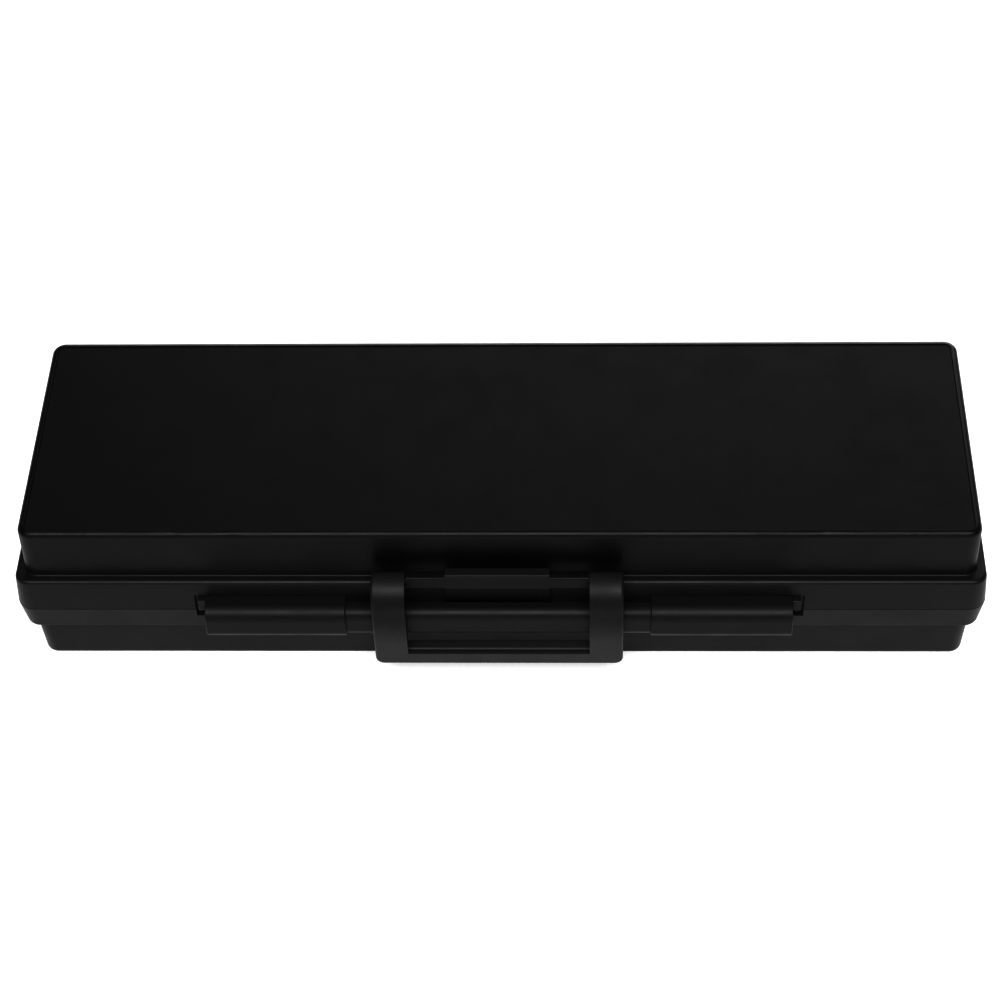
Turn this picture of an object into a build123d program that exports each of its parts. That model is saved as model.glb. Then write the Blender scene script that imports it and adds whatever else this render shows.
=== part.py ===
from build123d import *
import math
import os

# Long carrying box for small components: a moulded base and a hinged lid, a rail along
# the front with two sliding latches on it, and a swinging handle in front of the rail.
# X runs along the box, the front faces -Y, Z is up, and the origin is the middle of the
# face that the box stands on. All sizes are in millimetres.

# Case outline, measured at the seam where the lid meets the base
case_width = 500.0
case_depth = 154.0
case_height = 95.0
seam_height = 44.5
seam_gap = 0.3
seam_corner = 9.3

# Base tub and the flange round its rim
flange_bottom = 29.0
flange_inset = 2.3
flange_corner = 8.0
flange_edge_radius = 0.9
tub_inset_top = 6.1
tub_inset_bottom = 7.7
tub_corner = 7.0
tub_foot_radius = 3.0
floor_thickness = 2.6

# Lid skirt, shoulder and upper wall
shoulder_height = 64.2
shoulder_inset = 1.35
shoulder_corner = 7.4
shoulder_radius = 2.0
neck_inset = 6.2
neck_draft_inset = 0.25
neck_corner = 7.0
cove_radius = 0.8
rim_radius = 3.0

# Hollow inside both shells
hollow_inset = 8.6
hollow_draft_inset = 1.6
lid_hollow_draft_inset = 0.4
hollow_corner = 5.0
lid_top_thickness = 2.0

# Flat panel let into the lid
panel_inset = 9.9
panel_corner = 3.0
panel_recess = 1.2
panel_thickness = 0.9
panel_gap = 0.35

# Tongue on the base rim and its groove in the lid
tongue_inset = 4.3
tongue_width = 1.5
tongue_height = 2.0
tongue_lead = 0.5
groove_clearance = 0.6

# Front rail
rail_front = 10.8
rail_thickness = 8.0
rail_bottom = 36.2
rail_top = 53.6
rail_half_length = 150.0
rail_top_radius = 5.5
rail_bottom_radius = 4.5
foot_bottom = 38.9
foot_top = 44.0
foot_depth = 2.8
foot_clearance = 0.1
end_foot_length = 7.5

# Sliding latches
latch_clearance = 0.25
latch_wall = 1.1
latch_length = 72.3
latch_overhang = 0.3
latch_travel = 12.0
latch_lip_thickness = 1.65
latch_mouth_bottom = 41.0
latch_mouth_top = 46.0
latch_top_reach = 0.25
latch_edge_chamfer = 0.5
detent_height = 0.22
detent_radius = 1.4
detent_end_room = 0.3
detent_clearance = 0.1

# Lugs on the lid that the latches hold down, and the recesses that they stand in
lug_behind_rail = 6.0
lug_showing = 4.2
lug_front = 2.2
lug_bottom = 46.2
lug_clearance = 0.4
recess_end_room = 2.0
recess_top = 54.8
lug_edge_radius = 0.6

# Handle bracket
bracket_half_width = 46.3
stem_half_width = 26.5
stem_back = 0.4
stem_front = 1.9
bar_back = 0.3
bar_front = 4.9
bar_bottom = 66.4
bar_top = 74.2
pad_top = 76.3
pad_back = -1.0
bar_edge_radius = 1.0

# Handle
pivot_forward = 2.6
pivot_height = 70.6
knuckle_radius = 4.4
arm_width = 17.2
handle_end_gap = 0.5
handle_front = 16.6
arm_thickness = 5.4
shoulder_turn_radius = 13.0
handle_top = 76.0
bow_start = 49.0
bow_radius = 102.0
bow_angle = 7.3
handle_bottom = 16.8
handle_corner = 4.5
arm_edge_radius = 1.6
grip_top = 27.4
grip_front_top = 26.2
grip_bottom = 18.5
grip_back = 5.0
grip_back_radius = 2.5
grip_end_radius = 2.0
grip_behind_arm = 8.0
grip_groove_front = 13.2
grip_groove_width = 1.2
grip_groove_depth = 2.5
grip_groove_radius = 1.2

# Pivot pins of the handle
handle_pin_radius = 1.5
handle_pin_length = 24.0
handle_pin_in_bracket = 8.0
pin_seat_clearance = 0.02
pin_running_clearance = 0.06

# Rear hinge
hinge_axis_back = 4.4
knuckle_outer_radius = 3.9
hinge_pin_radius = 1.5
hinge_from_end = 80.0
lid_knuckle_length = 24.0
base_knuckle_length = 19.6
knuckle_gap = 0.4
knuckle_web_root = 9.0
web_clearance = 0.3
stop_heel_radius = 5.4
stop_heel_width = 2.0
lid_opening = 102.0
heel_angle_when_open = -130.0

# Screws
screw_radius = 1.25
screw_head_radius = 2.6
screw_head_height = 1.6
screw_length = 14.0
screw_height = 41.4
rail_screw_middle = 47.0
bracket_screw_offset = 14.0
drive_recess_radius = 1.1
drive_recess_depth = 0.9

# Dividers in the base
divider_thickness = 1.6
divider_clearance = 0.2
divider_foot = 0.1
column_trim = 10.0
slot_rib_width = 1.5
slot_rib_depth = 2.4
slot_clearance = 0.15

# Lift-out tray that stands on the dividers
tray_bottom = 44.0
tray_top = 80.0
tray_end_inset = 13.0
tray_side_inset = 14.5
tray_draft_inset = 1.6
tray_corner = 6.0
tray_wall = 1.8
tray_floor = 1.8
tray_partition = 1.5
tray_partition_drop = 1.0
tray_grip_length = 84.0
tray_grip_height = 17.0
tray_grip_below_top = 5.0

# Foam pad in the lid
foam_inset = 1.2
foam_gap = 0.4
foam_corner = 4.0

# Places worked out from the sizes above
half_width = case_width / 2
half_depth = case_depth / 2
front_face = -half_depth
lid_bottom = seam_height + seam_gap
hollow_top = case_height - panel_recess - lid_top_thickness
rail_back = rail_front - rail_thickness
latch_front = rail_front + latch_clearance + latch_wall
latch_bottom = rail_bottom - latch_clearance - latch_wall
latch_top = rail_top + latch_clearance + latch_wall
latch_top_radius = rail_top_radius + latch_clearance + latch_wall
latch_bottom_radius = rail_bottom_radius + latch_clearance + latch_wall
latch_outer_end = rail_half_length + latch_overhang
latch_inner_end = latch_outer_end - latch_length
lip_front = rail_back - latch_clearance
lip_back = lip_front - latch_lip_thickness
end_foot_start = rail_half_length - end_foot_length
middle_foot_end = latch_inner_end - latch_travel - latch_clearance
lug_inner_end = rail_half_length - lug_behind_rail
lug_outer_end = latch_outer_end + lug_showing
lug_top = rail_top + latch_clearance - lug_clearance
recess_outer_end = lug_outer_end + recess_end_room
hinge_axis_y = half_depth + hinge_axis_back
hinge_centre = half_width - hinge_from_end
column_pitch = (half_width - column_trim) / 2
tray_half_length = half_width - tray_end_inset
tray_half_depth = half_depth - tray_side_inset
arm_inner = bracket_half_width + handle_end_gap
handle_half_width = arm_inner + arm_width
grip_half_length = arm_inner + grip_behind_arm
groove_back = grip_groove_front - grip_groove_width
stop_heel_angle = heel_angle_when_open + lid_opening
overlap = 0.5


def outline(inset, corner, height):
    """Rounded outline of the case, drawn in from the seam outline, at one height."""
    sheet = RectangleRounded(case_width - 2 * inset, case_depth - 2 * inset, corner)
    return Pos(0, 0, height) * sheet


def drafted(low, high):
    """Solid between two outlines, each given as inset, corner and height."""
    return loft([outline(*low), outline(*high)], ruled=True)


def box_between(x_range, y_range, z_range):
    """Box between low and high values on the three axes."""
    size = [high - low for low, high in (x_range, y_range, z_range)]
    centre = [(high + low) / 2 for low, high in (x_range, y_range, z_range)]
    return Pos(*centre) * Box(*size)


def forward(distance):
    """Y of a point that lies a distance in front of the seam's front face."""
    return front_face - distance


def side_rectangle(near, far, low, high):
    """Rectangle in the side view, between two distances forward and two heights."""
    centre = (forward((near + far) / 2), (low + high) / 2)
    return Pos(*centre) * Rectangle(abs(far - near), high - low)


def side_corner(sketch, distance, height, radius):
    """Rounds the corner of a side view sketch that lies at one place."""
    corner = sketch.vertices().sort_by_distance((forward(distance), height, 0))[0]
    return fillet(corner, radius)


def along_x(sketch, low, high):
    """Solid with a side view section, from one X to another."""
    return extrude(Plane.YZ.offset(low) * sketch, amount=high - low)


def rod_x(radius, low, high, y, z):
    """Round rod along X."""
    return Pos((low + high) / 2, y, z) * Rot(0, 90, 0) * Cylinder(radius, high - low)


def rod_y(radius, low, high, x, z):
    """Round rod along Y."""
    return Pos(x, (low + high) / 2, z) * Rot(90, 0, 0) * Cylinder(radius, high - low)


def mirrored(part):
    """The same shape on the other side of the middle."""
    return mirror(part, about=Plane.YZ)


def both_sides(part):
    """A shape with its mirror image."""
    return part + mirrored(part)


def edges_at(part, height, inset, reach=0.2):
    """Edges that run round an outline at one height and inset."""
    found = []
    for edge in part.edges():
        box = edge.bounding_box()
        if abs(box.min.Z - height) > 0.01 or abs(box.max.Z - height) > 0.01:
            continue
        side = half_width - max(abs(box.min.X), abs(box.max.X))
        end = half_depth - max(abs(box.min.Y), abs(box.max.Y))
        if min(abs(side - inset), abs(end - inset)) < reach:
            found.append(edge)
    return found


def base_hollow(shrink=0.0, bottom=floor_thickness, top=seam_height):
    """Space inside the base, drawn in by a clearance."""
    rise = (seam_height - bottom) / (seam_height - floor_thickness)
    low_inset = hollow_inset + hollow_draft_inset * rise + shrink
    high_inset = hollow_inset + shrink
    return drafted((low_inset, hollow_corner, bottom), (high_inset, hollow_corner, top))


def lid_hollow(shrink=0.0, top=hollow_top):
    """Space inside the lid, drawn in by a clearance."""
    low = (hollow_inset + shrink, hollow_corner, lid_bottom)
    high = (hollow_inset + lid_hollow_draft_inset + shrink, hollow_corner, top)
    return drafted(low, high)


def tongue_ring(clearance, height, lead):
    """Ring along the seam: the tongue itself, or its groove with a clearance."""
    outer = tongue_inset - clearance
    inner = tongue_inset + tongue_width + clearance
    corner = seam_corner - tongue_inset
    inner_corner = corner - tongue_width
    solid = drafted((outer, corner, seam_height), (outer + lead, corner, seam_height + height))
    core = drafted(
        (inner, inner_corner, seam_height - overlap),
        (inner - lead, inner_corner, seam_height + height + overlap),
    )
    return solid - core


def foot_pocket(low, high):
    """Pocket in the flange that a foot of the rail or bracket seats in."""
    return box_between(
        (low - foot_clearance, high + foot_clearance),
        (forward(overlap), forward(-foot_depth)),
        (foot_bottom - foot_clearance, foot_top + foot_clearance),
    )


def latch_recess():
    """Recess that runs down both shells at the outer end of the right latch."""
    return box_between(
        (end_foot_start - foot_clearance, recess_outer_end),
        (forward(overlap), forward(-foot_depth)),
        (foot_bottom - foot_clearance, recess_top),
    )


def screw(x, head_face, height):
    """Pan head screw along Y, with its head inside the case and its tip forward."""
    shank = rod_y(screw_radius, head_face - screw_length, head_face, x, height)
    head = rod_y(screw_head_radius, head_face, head_face + screw_head_height, x, height)
    rim = head.faces().sort_by(Axis.Y)[-1].edges()
    head = fillet(rim, screw_head_height / 3)
    head_top = head_face + screw_head_height
    drive = rod_y(drive_recess_radius, head_top - drive_recess_depth, head_top + overlap, x, height)
    return shank + head - drive


def screw_places(offsets):
    """X of each screw in a symmetrical row, from the offsets on one side."""
    return sorted([-x for x in offsets] + list(offsets))


rail_screw_places = screw_places([rail_screw_middle, rail_half_length - end_foot_length / 2])
bracket_screw_places = screw_places([bracket_screw_offset])
screw_rise = (screw_height - floor_thickness) / (seam_height - floor_thickness)
inner_wall_y = forward(-(hollow_inset + hollow_draft_inset * (1 - screw_rise)))
screw_seat = inner_wall_y + 0.12


def screw_holes(places):
    """Clearance holes for a row of screws, with a spot face under each head."""
    holes = Part()
    for x in places:
        tip = screw_seat - screw_length - overlap
        holes += rod_y(screw_radius + pin_seat_clearance, tip, screw_seat + overlap, x, screw_height)
        holes += rod_y(
            screw_head_radius + foot_clearance, screw_seat, screw_seat + 4 * overlap, x, screw_height
        )
    return holes


def hinge_rod(radius, low, high):
    """Round rod on the hinge axis."""
    return rod_x(radius, low, high, hinge_axis_y, seam_height)


def knuckle(low, high, direction):
    """Hinge knuckle with the web that joins it to a shell, below or above the seam."""
    barrel = hinge_rod(knuckle_outer_radius, low, high)
    root_y = half_depth - 2
    near = seam_height + direction * (seam_gap / 2 + web_clearance)
    outer = seam_height + direction * knuckle_outer_radius
    root = seam_height + direction * knuckle_web_root
    web = Polyline(
        (root_y, near), (hinge_axis_y, near), (hinge_axis_y, outer), (root_y, root), close=True
    )
    return barrel + along_x(make_face(web), low, high)


def lid_knuckle_range():
    """X range of the lid's knuckle in the right hinge."""
    return hinge_centre - lid_knuckle_length / 2, hinge_centre + lid_knuckle_length / 2


def base_knuckle_ranges():
    """X ranges of the base's two knuckles in the right hinge."""
    low, high = lid_knuckle_range()
    inner = (low - knuckle_gap - base_knuckle_length, low - knuckle_gap)
    outer = (high + knuckle_gap, high + knuckle_gap + base_knuckle_length)
    return inner, outer


def make_base_shell():
    """Base tub with its rim flange, tongue, hinge knuckles, pockets and divider slots."""
    tub = drafted((tub_inset_bottom, tub_corner, 0), (tub_inset_top, tub_corner, flange_bottom + overlap))
    tub = fillet(edges_at(tub, 0, tub_inset_bottom), tub_foot_radius)
    flange = drafted((flange_inset, flange_corner, flange_bottom), (0, seam_corner, seam_height))
    flange = fillet(edges_at(flange, flange_bottom, flange_inset), flange_edge_radius)
    shell = tub + flange
    for low, high in base_knuckle_ranges():
        shell += both_sides(knuckle(low, high, -1))
    shell += tongue_ring(0, tongue_height, tongue_lead)
    shell -= base_hollow(top=seam_height + 2 * tongue_height)
    shell -= foot_pocket(-middle_foot_end, middle_foot_end)
    shell -= both_sides(latch_recess())
    inner, outer = base_knuckle_ranges()
    shell -= both_sides(
        hinge_rod(hinge_pin_radius + pin_seat_clearance, inner[0] - overlap, outer[1] + overlap)
    )
    shell -= screw_holes(rail_screw_places + bracket_screw_places)
    return shell + divider_ribs()


def divider_ribs():
    """Pairs of upright ribs on the walls that hold the ends of the dividers."""
    band = base_hollow(shrink=-0.3) - base_hollow(shrink=slot_rib_depth, top=seam_height + 1)
    near = divider_thickness / 2 + slot_clearance
    far = near + slot_rib_width
    top = tray_bottom - 1.0
    ribs = Part()
    for column in (-1, 0, 1):
        for side in (-1, 1):
            middle = column * column_pitch + side * (near + far) / 2
            upright = box_between(
                (middle - slot_rib_width / 2, middle + slot_rib_width / 2),
                (-half_depth, half_depth),
                (floor_thickness - 0.3, top),
            )
            ribs += upright & band
    for side in (-1, 1):
        middle = side * (near + far) / 2
        upright = box_between(
            (-half_width, half_width),
            (middle - slot_rib_width / 2, middle + slot_rib_width / 2),
            (floor_thickness - 0.3, top),
        )
        ribs += upright & band
    return ribs


def make_lug():
    """Lug that stands out of the lid's skirt into the outer end of the right latch."""
    lug = box_between(
        (lug_inner_end, lug_outer_end), (forward(lug_front), forward(-foot_depth - 1)), (lug_bottom, lug_top)
    )
    front = lug.faces().sort_by(Axis.Y)[0]
    return fillet(front.edges(), lug_edge_radius)


def make_lid_shell():
    """Lid with its skirt, shoulder and upper wall, latch lugs and hinge knuckles."""
    share = seam_gap / (shoulder_height - seam_height)
    skirt = drafted(
        (shoulder_inset * share, seam_corner, lid_bottom), (shoulder_inset, shoulder_corner, shoulder_height)
    )
    skirt = fillet(edges_at(skirt, shoulder_height, shoulder_inset), shoulder_radius)
    neck = drafted(
        (neck_inset, neck_corner, shoulder_height - overlap),
        (neck_inset + neck_draft_inset, neck_corner, case_height),
    )
    neck = fillet(edges_at(neck, case_height, neck_inset + neck_draft_inset), rim_radius)
    shell = skirt + neck
    shell = fillet(edges_at(shell, shoulder_height, neck_inset), cove_radius)
    low, high = lid_knuckle_range()
    shell += both_sides(knuckle(low, high, 1) + make_stop_heel(low, high))
    shell -= lid_hollow()
    recess = outline(panel_inset, panel_corner, case_height - panel_recess)
    shell -= extrude(recess, amount=panel_recess + overlap)
    shell -= tongue_ring(groove_clearance, tongue_height + seam_gap + groove_clearance, 0)
    shell -= both_sides(latch_recess())
    shell += both_sides(make_lug())
    return shell - both_sides(
        hinge_rod(hinge_pin_radius + pin_running_clearance, low - overlap, high + overlap)
    )


def make_stop_heel(low, high):
    """Heel on the lid's knuckle that meets the base when the lid is fully open."""
    bar = Pos(0, stop_heel_radius / 2) * Rectangle(stop_heel_width, stop_heel_radius)
    placed = Pos(hinge_axis_y, seam_height) * Rot(0, 0, stop_heel_angle - 90) * bar
    return along_x(placed, low, high)


def make_lid_panel():
    """Flat panel that lies in the recess of the lid."""
    sheet = outline(panel_inset + panel_gap, panel_corner - panel_gap, case_height - panel_recess)
    return extrude(sheet, amount=panel_thickness)


def rail_section(clearance=0.0):
    """Side view section of the rail, grown by a clearance for what slides on it."""
    near = rail_back - clearance
    far = rail_front + clearance
    low = rail_bottom - clearance
    high = rail_top + clearance
    section = side_rectangle(near, far, low, high)
    section = side_corner(section, far, high, rail_top_radius + clearance)
    return side_corner(section, far, low, rail_bottom_radius + clearance)


def rail_foot(low, high):
    """Foot that joins the rail to its pocket in the flange."""
    return box_between(
        (low, high), (forward(rail_back + overlap), forward(-foot_depth)), (foot_bottom, foot_top)
    )


def detent_rib(x, radius, height):
    """Low rib across the top of the rail, or the notch for it in a latch."""
    flat_front = rail_front - rail_top_radius
    low, high = forward(flat_front - detent_end_room), forward(rail_back + detent_end_room)
    return rod_y(radius, low, high, x, rail_top + height - radius)


def make_front_rail():
    """Rail that carries the latches, with its feet."""
    rail = along_x(rail_section(), -rail_half_length, rail_half_length)
    rail += both_sides(rail_foot(end_foot_start, rail_half_length))
    rail += both_sides(rail_foot(stem_half_width + foot_clearance, middle_foot_end))
    rail += both_sides(detent_rib(detent_place(), detent_radius, detent_height))
    return rail - screw_holes(rail_screw_places + bracket_screw_places)


def detent_place():
    """X of the detent rib under the right latch."""
    return (latch_inner_end + latch_outer_end) / 2


def latch_inside():
    """Side view of the space inside a latch: the rail, and the way in behind it."""
    inside_top = rail_top + latch_clearance
    section = rail_section(latch_clearance)
    section += side_rectangle(-latch_top_reach - overlap, lip_back, latch_bottom - overlap, inside_top)
    return section + side_rectangle(
        lip_back - overlap, rail_back, latch_mouth_bottom, latch_mouth_top
    )


def make_latch():
    """Right latch: a channel that wraps the rail and slides along it."""
    section = side_rectangle(-latch_top_reach, latch_front, latch_bottom, latch_top)
    section = side_corner(section, latch_front, latch_top, latch_top_radius)
    section = side_corner(section, latch_front, latch_bottom, latch_bottom_radius)
    latch = along_x(section, latch_inner_end, latch_outer_end)
    back = forward(-latch_top_reach) - 0.01
    rims = latch.edges().filter_by(lambda edge: edge.bounding_box().size.X < 0.01)
    latch = chamfer(rims.filter_by(lambda edge: edge.center().Y < back), latch_edge_chamfer)
    latch -= along_x(latch_inside(), latch_inner_end - overlap, latch_outer_end + overlap)
    lug_space = box_between(
        (lug_inner_end - 3, latch_outer_end + overlap),
        (forward(rail_back), forward(-overlap)),
        (latch_mouth_top - overlap, rail_top + latch_clearance),
    )
    foot_space = box_between(
        (end_foot_start - latch_clearance, latch_outer_end + overlap),
        (forward(rail_back), forward(-overlap)),
        (latch_bottom - overlap, latch_mouth_bottom + overlap),
    )
    latch -= lug_space
    latch -= foot_space
    notch_height = detent_height + latch_clearance + detent_clearance
    for shift in (0, latch_travel):
        latch -= detent_rib(detent_place() + shift, detent_radius + detent_clearance, notch_height)
    return latch


def make_handle_bracket():
    """Bracket with a foot in the flange, a stem behind the rail and a bar for the handle."""
    foot = box_between(
        (-stem_half_width, stem_half_width),
        (forward(rail_back), forward(-foot_depth)),
        (foot_bottom, foot_top),
    )
    stem_section = side_rectangle(stem_back, stem_front, foot_top - overlap, bar_bottom + overlap)
    stem = along_x(stem_section, -stem_half_width, stem_half_width)
    bar_section = side_rectangle(bar_back, bar_front, bar_bottom, bar_top)
    bar = along_x(bar_section, -bracket_half_width, bracket_half_width)
    bar = fillet(bar.edges().filter_by(Axis.X), bar_edge_radius)
    pad_section = side_rectangle(pad_back, bar_front, bar_bottom, pad_top)
    pad = along_x(pad_section, -stem_half_width, stem_half_width)
    pad = fillet(pad.edges().filter_by(Axis.X).sort_by(Axis.Z)[-2:], bar_edge_radius)
    bracket = foot + stem + bar + pad
    bore = rod_x(
        handle_pin_radius + pin_seat_clearance,
        bracket_half_width - handle_pin_in_bracket,
        bracket_half_width + overlap,
        forward(pivot_forward),
        pivot_height,
    )
    return bracket - both_sides(bore) - screw_holes(bracket_screw_places)


def bow_point(radius, degrees, run=0.0):
    """Point on the handle's bow, and beyond the end of the bow along its tangent."""
    angle = math.radians(degrees)
    distance = handle_front - bow_radius + radius * math.cos(angle) - run * math.sin(angle)
    return forward(distance), bow_start - radius * math.sin(angle) - run * math.cos(angle)


def bow_run(radius):
    """Length of the straight run from the end of the bow down to the handle's bottom."""
    height = bow_point(radius, bow_angle)[1]
    return (height - handle_bottom) / math.cos(math.radians(bow_angle))


def drop_section(thickness, top):
    """Side view of the handle's front: straight down, bowed back, then straight again."""
    outer = bow_radius
    inner = bow_radius - thickness
    path = Line((forward(handle_front), top), bow_point(outer, 0))
    path += ThreePointArc(bow_point(outer, 0), bow_point(outer, bow_angle / 2), bow_point(outer, bow_angle))
    path += Polyline(
        bow_point(outer, bow_angle),
        bow_point(outer, bow_angle, bow_run(outer)),
        bow_point(inner, bow_angle, bow_run(inner)),
        bow_point(inner, bow_angle),
    )
    path += ThreePointArc(bow_point(inner, bow_angle), bow_point(inner, bow_angle / 2), bow_point(inner, 0))
    path += Polyline(
        bow_point(inner, 0), (forward(handle_front - thickness), top), (forward(handle_front), top)
    )
    return make_face(path)


def arm_section():
    """Side view of an arm, from its knuckle over the rail and down the front."""
    turn_forward = handle_front - shoulder_turn_radius
    turn_height = handle_top - shoulder_turn_radius
    turn = Pos(forward(turn_forward), turn_height) * Circle(shoulder_turn_radius)
    turn -= Pos(forward(turn_forward), turn_height) * Circle(shoulder_turn_radius - arm_thickness)
    turn &= side_rectangle(turn_forward, handle_front, turn_height, handle_top)
    knuckle_disc = Pos(forward(pivot_forward), pivot_height) * Circle(knuckle_radius)
    bridge = Polyline(
        (forward(pivot_forward), pivot_height + knuckle_radius),
        (forward(turn_forward), handle_top),
        (forward(turn_forward), handle_top - arm_thickness),
        (forward(pivot_forward), pivot_height),
        close=True,
    )
    return drop_section(arm_thickness, turn_height) + turn + knuckle_disc + make_face(bridge)


def is_front_rim(edge):
    """Whether an edge of the handle belongs to the outer rim of its front."""
    box = edge.bounding_box()
    middle = edge.center()
    if box.size.Y > 4 and box.size.Z < 0.1:
        return False
    if box.size.X < 0.01 and abs(middle.X) < handle_half_width - 0.01:
        return False
    if abs(middle.X) < handle_half_width - handle_corner:
        return False
    in_front = middle.Y < forward(handle_front - 2 * arm_thickness / 3)
    on_turn = middle.Z > pivot_height and box.size.Y > shoulder_turn_radius / 2
    return in_front or (on_turn and box.min.Y < forward(handle_front - 0.01))


def make_grip():
    """Thick part of the grip bar, which runs on behind the arms."""
    section = side_rectangle(grip_back, groove_back, grip_bottom, grip_top)
    section = side_corner(section, grip_back, grip_top, grip_back_radius)
    section = side_corner(section, grip_back, grip_bottom, grip_back_radius)
    grip = along_x(section, -grip_half_length, grip_half_length)
    front = forward(groove_back) + 0.01
    rims = grip.edges().filter_by(lambda edge: edge.bounding_box().size.X < 0.01)
    return fillet(rims.filter_by(lambda edge: edge.center().Y > front), grip_end_radius)


def grip_groove():
    """Groove along the top of the grip bar, with its rear edge rounded over."""
    section = side_rectangle(
        groove_back, grip_groove_front, grip_top - grip_groove_depth, grip_top + overlap
    )
    centre = (groove_back - grip_groove_radius, grip_top - grip_groove_radius)
    corner = side_rectangle(centre[0], groove_back + overlap, centre[1], grip_top + overlap)
    corner -= Pos(forward(centre[0]), centre[1]) * Circle(grip_groove_radius)
    return along_x(section + corner, -arm_inner, arm_inner)


def make_handle_bail():
    """Handle: two arms and the grip bar between them, in one piece."""
    bail = along_x(arm_section(), -handle_half_width, handle_half_width)
    bail -= box_between(
        (-arm_inner, arm_inner),
        (forward(2 * handle_front), forward(-2 * knuckle_radius)),
        (grip_front_top, handle_top + overlap),
    )
    lowest = bail.edges().filter_by(lambda edge: edge.bounding_box().max.Z < handle_bottom + 0.01)
    bail = fillet([edge for edge in lowest if edge.bounding_box().size.X < 0.01], handle_corner)
    bail = fillet(bail.edges().filter_by(is_front_rim), arm_edge_radius)
    bore = rod_x(
        handle_pin_radius + pin_running_clearance,
        arm_inner - overlap,
        bracket_half_width - handle_pin_in_bracket + handle_pin_length + handle_end_gap,
        forward(pivot_forward),
        pivot_height,
    )
    return bail + make_grip() - both_sides(bore) - grip_groove()


def make_handle_pins():
    """Two steel pins that the handle turns on."""
    low = bracket_half_width - handle_pin_in_bracket
    pin = rod_x(handle_pin_radius, low, low + handle_pin_length, forward(pivot_forward), pivot_height)
    return [pin, mirrored(pin)]


def make_hinge_pins():
    """Two steel hinge pins."""
    inner, outer = base_knuckle_ranges()
    pin = hinge_rod(hinge_pin_radius, inner[0], outer[1])
    return [pin, mirrored(pin)]


def make_screws(places):
    """Screws that hold the rail or the bracket, from inside the base."""
    return [screw(x, screw_seat, screw_height) for x in places]


def make_long_divider():
    """Divider along the middle of the base."""
    sheet = box_between(
        (-half_width, half_width),
        (-divider_thickness / 2, divider_thickness / 2),
        (floor_thickness + divider_foot, tray_bottom),
    )
    return sheet & base_hollow(shrink=divider_clearance)


def make_cross_divider(column, side):
    """Short divider from the middle divider to one long wall."""
    x = column * column_pitch
    near = divider_thickness / 2 + slot_clearance
    low, high = sorted((side * near, side * half_depth))
    sheet = box_between(
        (x - divider_thickness / 2, x + divider_thickness / 2),
        (low, high),
        (floor_thickness + divider_foot, tray_bottom),
    )
    return sheet & base_hollow(shrink=divider_clearance)


def tray_solid(shrink, bottom, top):
    """Tapered block with the tray's outline, drawn in by a wall."""
    rise = tray_top - tray_bottom

    def sheet(height):
        inset = shrink + tray_draft_inset * (tray_top - height) / rise
        return Pos(0, 0, height) * RectangleRounded(
            2 * (tray_half_length - inset), 2 * (tray_half_depth - inset), tray_corner - shrink
        )

    return loft([sheet(bottom), sheet(top)], ruled=True)


def make_parts_tray():
    """Lift-out tray with its partitions and a finger hole through the middle one."""
    tray = tray_solid(0, tray_bottom, tray_top)
    tray -= tray_solid(tray_wall, tray_bottom + tray_floor, tray_top + overlap)
    inside = tray_solid(tray_wall - overlap, tray_bottom + tray_floor - overlap, tray_top)
    half = tray_partition / 2
    middle = box_between(
        (-tray_half_length, tray_half_length), (-half, half), (tray_bottom + overlap, tray_top)
    )
    grip = Pos(0, 0, tray_top - tray_grip_below_top - tray_grip_height / 2) * Rot(90, 0, 0) * extrude(
        SlotOverall(tray_grip_length, tray_grip_height), amount=tray_partition, both=True
    )
    partitions = middle
    for column in (-1, 0, 1):
        x = column * column_pitch
        partitions += box_between(
            (x - half, x + half),
            (-tray_half_depth, tray_half_depth),
            (tray_bottom + overlap, tray_top - tray_partition_drop),
        )
    return tray + ((partitions - grip) & inside)


def make_foam_pad():
    """Foam pad glued under the top of the lid, just above the tray."""
    bottom = tray_top + foam_gap
    rise = (hollow_top - bottom) / (hollow_top - lid_bottom)
    low_inset = hollow_inset + lid_hollow_draft_inset * (1 - rise) + foam_inset
    high_inset = hollow_inset + lid_hollow_draft_inset + foam_inset
    return drafted((low_inset, foam_corner, bottom), (high_inset, foam_corner, hollow_top))


def solids_of(shape):
    """Flat list of the solids in a shape or a list of shapes."""
    if isinstance(shape, list):
        return [solid for item in shape for solid in solids_of(item)]
    return list(shape.solids())


def write(name, shape):
    """Writes one node: a single solid, or a group of separate ones."""
    solids = solids_of(shape)
    item = solids[0] if len(solids) == 1 else Compound(children=solids)
    export_step(item, f"parts/{name}.step")
    box = item.bounding_box()
    print(name, len(solids), "solid(s)", [round(value, 1) for value in (*box.min, *box.max)])


os.makedirs("parts", exist_ok=True)

nodes = {
    "base_shell": make_base_shell(),
    "lid_shell": make_lid_shell(),
    "lid_panel": make_lid_panel(),
    "front_rail": make_front_rail(),
    "latch_right": make_latch(),
    "latch_left": mirrored(make_latch()),
    "handle_bracket": make_handle_bracket(),
    "handle_bail": make_handle_bail(),
    "handle_pins": make_handle_pins(),
    "hinge_pins": make_hinge_pins(),
    "rail_screws": make_screws(rail_screw_places),
    "bracket_screws": make_screws(bracket_screw_places),
    "long_divider": make_long_divider(),
    "parts_tray": make_parts_tray(),
    "lid_foam_pad": make_foam_pad(),
}
for side, place in ((-1, "front"), (1, "rear")):
    for column, position in ((-1, "left"), (0, "middle"), (1, "right")):
        nodes[f"cross_divider_{place}_{position}"] = make_cross_divider(column, side)

for node_name, node_shape in nodes.items():
    write(node_name, node_shape)
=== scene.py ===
import logging
import math
from dataclasses import dataclass, field
from enum import Enum

import bmesh
import bpy
from mathutils import Matrix, Vector


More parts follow.
